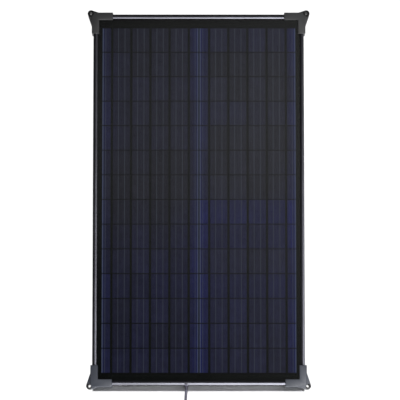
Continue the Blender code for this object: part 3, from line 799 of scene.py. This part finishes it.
def cell_finish():
    """Silicon with printed silver: fine fingers across each cell, two hairlines between each pair of ribbons
    and a paler edge. Its tint changes from cell to cell and gets bluer towards the sides and the bottom.
    Painted shade darkens each cell's rim along the gaps between rows."""
    made = Finish("silicon_cells")
    first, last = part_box("cell_left_01"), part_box("cell_right_14")
    middle = (first[0].x + last[1].x) / 2 / MM
    top = first[1].y / MM
    split = made.node("ShaderNodeSeparateXYZ", {"Vector": made.place((1 / MM, 1 / MM, 1 / MM))})
    x = made.math("SUBTRACT", split.outputs[0], middle)
    down = made.math("SUBTRACT", top, split.outputs[1])
    side = made.math("GREATER_THAN", x, 0.0)
    across = made.math("SUBTRACT", made.math("ABSOLUTE", x), STRING_GAP / 2)
    row = made.math("FLOOR", made.math("DIVIDE", down, ROW_PITCH))
    in_row = made.math("SUBTRACT", down, made.math("MULTIPLY", row, ROW_PITCH))
    strip = made.math("ROUND", made.math("DIVIDE", across, RIBBON_PITCH))
    from_side = made.math("MINIMUM", across, made.math("SUBTRACT", CELL_WIDTH, across))

    def chance(*parts):
        seeds = made.join(*parts)
        return made.node("ShaderNodeTexWhiteNoise", {"Vector": seeds}, noise_dimensions="3D").outputs[0]

    def product(total, *others):
        for other in others:
            total = made.math("MULTIPLY", total, other)
        return total

    def line(value, period, half_width):
        """1 on a line at each multiple of the period, which falls away over a half width on either side."""
        wave = made.math("PINGPONG", value, period / 2)
        return made.ranged(wave, 0.0, half_width, 1.0, 0.0)

    # The tint
    cell_side = made.math("ADD", made.math("MULTIPLY", side, 7.0), 3.5)
    of_strip = chance(cell_side, row, made.math("ADD", strip, 20.5))
    at_side = made.math("POWER", made.ranged(from_side, 24.0, 0.0), 1.6)
    weights = (
        (chance(cell_side, row, 1.5), 0.18),
        (of_strip, 0.08),
        (made.ranged(down, 250.0, 420.0), 0.20),
        (product(made.math("COMPARE", row, BLUER_ROWS, 0.6), side), 0.26),
        (product(at_side, made.ranged(x, -CELL_WIDTH, -CELL_WIDTH / 2, 0.45, 1.0)), 0.66),
        (made.ranged(made.noise(5.5, 2.0, 0.5, (1, 0.6, 1)), 0.42, 0.66), 0.14),
    )
    blue = 0.0
    for part, weight in weights:
        blue = made.math("MULTIPLY_ADD", part, weight, blue)
    tone = made.mix(made.ranged(blue, 0.14, 1.0), (0.0108, 0.0104, 0.0168), (0.0056, 0.0066, 0.0440))

    # The shade
    grain = made.patchy(made.noise(900.0, 2.0, 0.7), 0.88, 1.12)
    shade = product(
        made.patchy(made.noise(90.0, 3.0, 0.6), 0.82, 1.18),
        grain,
        made.ranged(of_strip, 0.0, 1.0, 0.85, 1.15),
        made.ranged(side, 0.0, 1.0, 1.0, 1.15),
        made.patchy(made.noise(620.0, 3.0, 0.6, (1, 0.01, 1)), 0.84, 1.16),
    )
    tone = made.mix(1.0, tone, made.join(shade, shade, shade), "MULTIPLY")

    # The silver grid, and painted shade: a dark rim along each gap between rows, where shade falls under the
    # glass
    finger = line(in_row, FINGER_PITCH, 0.09)
    hairline = line(made.math("SUBTRACT", across, RIBBON_PITCH / 2), RIBBON_PITCH / 3, 0.85)
    edge = made.ranged(from_side, 1.2, 2.6, 1.0, 0.0)
    # Painted shade along each gap between rows
    rim = line(made.math("ADD", in_row, (ROW_PITCH - CELL_HEIGHT) / 2), ROW_PITCH, 1.45)
    for share, most, colour in (
        (finger, 0.30, (0.034, 0.036, 0.050)),
        (hairline, 0.76, (0.044, 0.047, 0.064)),
        (edge, 0.85, (0.048, 0.055, 0.104)),
        (rim, 0.78, (0.0016, 0.0016, 0.0030)),
    ):
        tone = made.mix(product(share, most), tone, colour)
    made.set(
        Base_Color=tone,
        Roughness=made.ranged(grain, 0.88, 1.12, 0.46, 0.56),
        Specular_IOR_Level=DARK_SPECULAR,
    )
    made.bump(made.math("MAXIMUM", finger, hairline), 0.01 * MM, 0.4)
    return made.material


def pane_finish():
    """Clear low-iron glass: what lies behind shows through, and the front mirrors by Fresnel for both of its
    faces, blurred a little by its faint pressed texture."""
    made = Finish("clear_glass")
    made.tree.nodes.remove(made.shader)
    clear = made.node("ShaderNodeBsdfTransparent", {"Color": (0.97, 0.985, 0.98, 1)})
    gloss = made.node("ShaderNodeBsdfGlossy", {"Color": (1, 1, 1, 1), "Roughness": 0.08})
    height = {"Height": made.noise(700.0, 2.0), "Distance": 0.01 * MM, "Strength": 0.3}
    ripple = made.node("ShaderNodeBump", height)
    made.put(gloss.inputs["Normal"], ripple.outputs[0])
    fresnel = made.node("ShaderNodeFresnel", {"IOR": 1.45}).outputs[0]
    mirrored = made.math("MULTIPLY", fresnel, BOTH_FACES, clamp=True)
    leaving = made.node("ShaderNodeNewGeometry").outputs["Backfacing"]
    share = made.ranged(leaving, 0.0, 1.0, mirrored, 0.0)
    both = made.node("ShaderNodeMixShader", {0: share, 1: clear.outputs[0], 2: gloss.outputs[0]})
    made.put(made.output.inputs["Surface"], both.outputs[0])
    return made.material


def film_finish():
    """Clear encapsulant, which only takes off a little light."""
    made = Finish("clear_film")
    made.tree.nodes.remove(made.shader)
    clear = made.node("ShaderNodeBsdfTransparent", {"Color": (0.985, 0.99, 0.985, 1)})
    made.put(made.output.inputs["Surface"], clear.outputs[0])
    return made.material


def sheet_finish():
    """The black film behind the cells, with a faint emboss."""
    made = Finish("black_film")
    slow = made.patchy(made.noise(24.0, 4.0))
    made.set(
        Base_Color=made.mix(slow, (0.0016, 0.0018, 0.0018), (0.0034, 0.0037, 0.0036)),
        Roughness=made.patchy(made.noise(300.0), 0.55, 0.72),
        Specular_IOR_Level=DARK_SPECULAR,
    )
    made.bump(made.noise(1200.0, 2.0), 0.03 * MM, 0.5)
    return made.material


def ribbon_finish():
    """Black coated ribbon, with faint streaks along it."""
    made = Finish("black_ribbon")
    streak = made.noise(900.0, 3.0, 0.6, (1, 0.03, 1))
    share = made.ranged(streak, 0.35, 0.7)
    made.set(
        Base_Color=made.mix(share, (0.0018, 0.0022, 0.0021), (0.0042, 0.0047, 0.0045)),
        Roughness=made.patchy(streak, 0.48, 0.60),
        Specular_IOR_Level=DARK_SPECULAR,
    )
    made.bump(streak, 0.02 * MM, 0.4)
    return made.material


def dress(finish, *names):
    """Gives CAD nodes that keep their shape a better finish."""
    for name in names:
        NODES[name].data.materials.clear()
        NODES[name].data.materials.append(finish)


def dress_laminate():
    """Finishes for the panes, films, cells and ribbons, and for what the frame and the junction box hide."""
    cells = [f"cell_{side}_{row:02d}" for side in ("left", "right") for row in range(1, 15)]
    dress(cell_finish(), *cells)
    dress(pane_finish(), "front_glass")
    dress(film_finish(), "front_encapsulant")
    dress(sheet_finish(), "rear_encapsulant", "backsheet")
    dress(ribbon_finish(), "cell_interconnect", "bus_lead_left", "bus_lead_right")
    dress(metal("tinned_copper_finish", (0.48, 0.46, 0.43), (0.64, 0.61, 0.57), 0.35), "terminal_block")
    dress(rubber("seal_finish", (0.009, 0.009, 0.010)), "edge_seal")
    keys = [f"corner_key_{corner}" for corner in CORNERS]
    dress(metal("key_alloy", (0.48, 0.49, 0.50), (0.60, 0.61, 0.62), 0.45), *keys)
    dress(sheath("inner_sheath"), "inner_lead", "exit_bushing")


# ---------------------------------------------------------------- junction box

LID_THICKNESS = 2.0 * MM
LID_WALL = 2.3 * MM
FIELD_INSET = (11 * MM, 9 * MM)
SCREW_INSET = 5.5 * MM
GLAND_RADIUS = 5.5 * MM
# The gland's sections, in millimetres: how far inside that radius and out from the box, and their shape
GLAND_SECTIONS = (
    (3.1, 0.0, "round"),
    (0.0, 0.0, "round"),
    (0.0, 0.9, "round"),
    (0.1, 1.0, "hexagon"),
    (0.1, 3.8, "hexagon"),
    (0.9, 3.9, "round"),
    (0.9, 4.3, "round"),
    (0.35, 4.5, "ribbed"),
    (0.45, 8.4, "ribbed"),
    (1.2, 10.0, "round"),
    (2.2, 10.7, "round"),
    (3.1, 10.9, "round"),
)
GLAND_RIB = 0.3 * MM


def make_screw(name, x, y, low, finish):
    """A flat-headed screw that faces down, with a cross recess."""
    screw = cylinder(name, 2.7 * MM, (x, y, low + 0.3 * MM), (x, y, low + 1.38 * MM))
    bevel(screw, 0.35 * MM)
    baked(screw)
    for across, along in ((1.7 * MM, 0.3 * MM), (0.3 * MM, 1.7 * MM)):
        corner = (x - across, y - along, low - MM)
        cut = box("cut", corner, (x + across, y + along, low + 0.95 * MM))
        boolean(screw, cut)
        baked(screw, cut)
    smooth(screw, 30)
    screw.data.materials.append(finish)
    add(screw, slot="anodised_frame")


def make_lid(black, steel):
    """The lid with a sunk field and a screw sunk in each corner."""
    low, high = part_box("junction_box_lid")
    lid = box("box_lid", low, (high.x, high.y, low.z + LID_THICKNESS))
    bevel(lid, 0.8 * MM)
    baked(lid)
    rib_low = (low.x + LID_WALL, low.y + LID_WALL, low.z + MM)
    rib = box("rib", rib_low, (high.x - LID_WALL, high.y - LID_WALL, high.z))
    boolean(lid, rib, "UNION")
    side, end = FIELD_INSET
    field_low = (low.x + side, low.y + end, low.z - MM)
    field = box("field", field_low, (high.x - side, high.y - end, low.z + 0.6 * MM))
    bevel(field, 0.5 * MM)
    baked(field)
    boolean(lid, field)
    helpers = [rib, field]
    for index in range(4):
        x = (high.x - SCREW_INSET) if index % 2 else (low.x + SCREW_INSET)
        y = (high.y - SCREW_INSET) if index > 1 else (low.y + SCREW_INSET)
        pocket = cylinder("pocket", 3.2 * MM, (x, y, low.z - MM), (x, y, low.z + 1.4 * MM))
        boolean(lid, pocket)
        helpers.append(pocket)
        make_screw(f"lid_screw_{index + 1}", x, y, low.z, steel)
    baked(lid, *helpers)
    smooth(lid, 30)
    lid.data.materials.append(black)
    add(lid, "junction_box_lid", slot="box_plastic")


def make_gland(black):
    """A compression gland: a collar, a hexagon, and a dome nut with grip ribs round it."""
    low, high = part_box("cable_gland")
    x, z = (low.x + high.x) / 2, (low.z + high.z) / 2
    rings = []
    for inside, out, shape in GLAND_SECTIONS:
        ring = []
        for step in range(ROUND_STEPS):
            angle = math.tau * step / ROUND_STEPS
            reach = GLAND_RADIUS - inside * MM
            if shape == "hexagon":
                reach *= math.cos(math.pi / 6) / math.cos((angle % (math.pi / 3)) - math.pi / 6)
            elif shape == "ribbed":
                reach -= GLAND_RIB * (step % 4 < 2)
            ring.append((x + reach * math.cos(angle), high.y - out * MM, z + reach * math.sin(angle)))
        rings.append(ring)
    gland = lofted("gland", rings, cyclic=True)
    smooth(gland, 30)
    gland.data.materials.append(black)
    add(gland, "cable_gland", slot="box_plastic")


def make_junction_box():
    black = plastic("box_black", (0.016, 0.016, 0.018), 0.5)
    steel = metal("screw_steel", (0.30, 0.30, 0.31), (0.42, 0.42, 0.43), 0.35)
    make_lid(black, steel)
    make_gland(black)
    dress(black, "junction_box_base")


rails = make_rails()
caps = make_caps()
dress_laminate()
make_junction_box()

# ---------------------------------------------------------------- studio

KEY_STRENGTH = 3.9
KEY_SPREAD = math.radians(4.6)
KEY_HEIGHT = math.radians(70.7)
KEY_FROM = (0, 4 * math.cos(KEY_HEIGHT), 4 * math.sin(KEY_HEIGHT))
# The backdrop's strength near the horizon and above, and its patch overhead, which is brightest at a middle,
# falls off up and down the panel and rises to the right
SKY_LOW = 0.22
SKY_HIGH = 0.10
PATCH_MIDDLE = 0.135
PATCH_PEAK = 0.262
PATCH_FALL = 2.6
PATCH_SLOPE = 2.4
PATCH_LEAST = 0.01
FLOOR_RADIUS = 7.0


def make_floor():
    shape = bmesh.new()
    bmesh.ops.create_circle(shape, cap_ends=True, segments=96, radius=FLOOR_RADIUS)
    floor = piece("studio_floor", shape)
    made = Finish("studio_floor_finish")
    slow = made.patchy(made.noise(1.2, 3.0))
    made.set(
        Base_Color=made.mix(slow, (0.84, 0.84, 0.84), (0.86, 0.86, 0.86)),
        Roughness=made.patchy(made.noise(40.0), 0.72, 0.82),
        Specular_IOR_Level=0.2,
    )
    floor.data.materials.append(made.material)


def link(purpose, objects, state):
    """A collection of objects that a lamp treats apart, all included or all left out."""
    made = bpy.data.collections.new(purpose)
    for obj in objects:
        made.objects.link(obj)
    for entry in made.collection_objects:
        entry.light_linking.link_state = state
    return made


def lamp(name, kind, energy, place, target):
    """A lamp aimed at a target, which the camera doesn't see."""
    data = bpy.data.lights.new(name, kind)
    data.energy = energy
    obj = bpy.data.objects.new(name, data)
    bpy.context.scene.collection.objects.link(obj)
    obj.location = place
    obj.rotation_euler = (Vector(target) - Vector(place)).to_track_quat("-Z", "Y").to_euler()
    obj.visible_camera = False
    return obj


def softbox(name, energy, place, target, size, only):
    """A rectangular lamp that lights only some objects."""
    obj = lamp(name, "AREA", energy, place, target)
    obj.data.shape = "RECTANGLE"
    obj.data.size, obj.data.size_y = size
    obj.light_linking.receiver_collection = link(f"{name}_lights", only, "INCLUDE")


def make_key(rails, caps):
    """The high key. It doesn't light the rails, caps or pane, which the rest of the studio shapes, and it
    shines past the caps, so that the ears' holes stay clear of their own shadow."""
    obj = lamp("key", "SUN", KEY_STRENGTH, KEY_FROM, (0, 0, 0))
    obj.data.angle = KEY_SPREAD
    unlit = [*rails, *caps, NODES["front_glass"]]
    obj.light_linking.receiver_collection = link("key_lights", unlit, "EXCLUDE")
    obj.light_linking.blocker_collection = link("key_goes_past", caps, "EXCLUDE")


def make_sky():
    """A backdrop that is white to the camera but lights the panel dimly, with a patch overhead that the glass
    mirrors."""
    world = bpy.data.worlds.new("studio")
    bpy.context.scene.world = world
    world.use_nodes = True
    tree = world.node_tree

    def calculate(kind, *values, **settings):
        made = tree.nodes.new(kind)
        for key, value in settings.items():
            setattr(made, key, value)
        for socket, value in zip(made.inputs, values):
            if isinstance(value, bpy.types.NodeSocket):
                tree.links.new(value, socket)
            else:
                socket.default_value = value
        return made.outputs[0]

    def math_of(operation, *values):
        return calculate("ShaderNodeMath", *values, operation=operation)

    where = tree.nodes.new("ShaderNodeTexCoord")
    split = tree.nodes.new("ShaderNodeSeparateXYZ")
    tree.links.new(where.outputs["Generated"], split.inputs[0])
    x, y, z = split.outputs
    sky = calculate("ShaderNodeMapRange", z, 0.05, 0.45, SKY_LOW, SKY_HIGH)
    off_middle = math_of("ABSOLUTE", math_of("SUBTRACT", y, PATCH_MIDDLE))
    patch = math_of("MULTIPLY_ADD", off_middle, -PATCH_FALL, PATCH_PEAK)
    patch = math_of("MAXIMUM", math_of("MULTIPLY_ADD", x, PATCH_SLOPE, patch), PATCH_LEAST)
    share = calculate("ShaderNodeMapRange", z, 0.90, 0.97, 0.0, 1.0)
    strength = math_of("MULTIPLY_ADD", math_of("SUBTRACT", patch, sky), share, sky)
    seen = tree.nodes.new("ShaderNodeLightPath").outputs["Is Camera Ray"]
    back = tree.nodes["Background"]
    tree.links.new(math_of("MAXIMUM", strength, seen), back.inputs["Strength"])
    back.inputs["Color"].default_value = (1, 1, 1, 1)


def make_light(rails, caps, lead):
    """The key, an even surround, and softboxes at the lower right for the rails and for the caps and lead."""
    make_key(rails, caps)
    softbox("rail_front", 115.0, (0.30, -1.05, 0.60), (0.1, -0.2, 0), (0.8, 1.1), rails)
    softbox("rail_side", 46.0, (1.00, -0.42, 0.75), (0, -0.22, 0), (0.9, 1.0), rails)
    softbox("cap_over", 20.0, (0.45, -0.65, 2.0), (0.1, -0.25, 0), (0.6, 0.6), [*caps, *lead])
    softbox("cap_front", 12.0, (0.45, -1.15, 0.40), (0.05, -0.3, 0), (1.1, 0.75), [*caps, *lead])
    make_sky()


make_floor()
make_light(rails, caps, [cable, NODES["exit_bushing"]])
bpy.context.scene.view_settings.view_transform = "Standard"
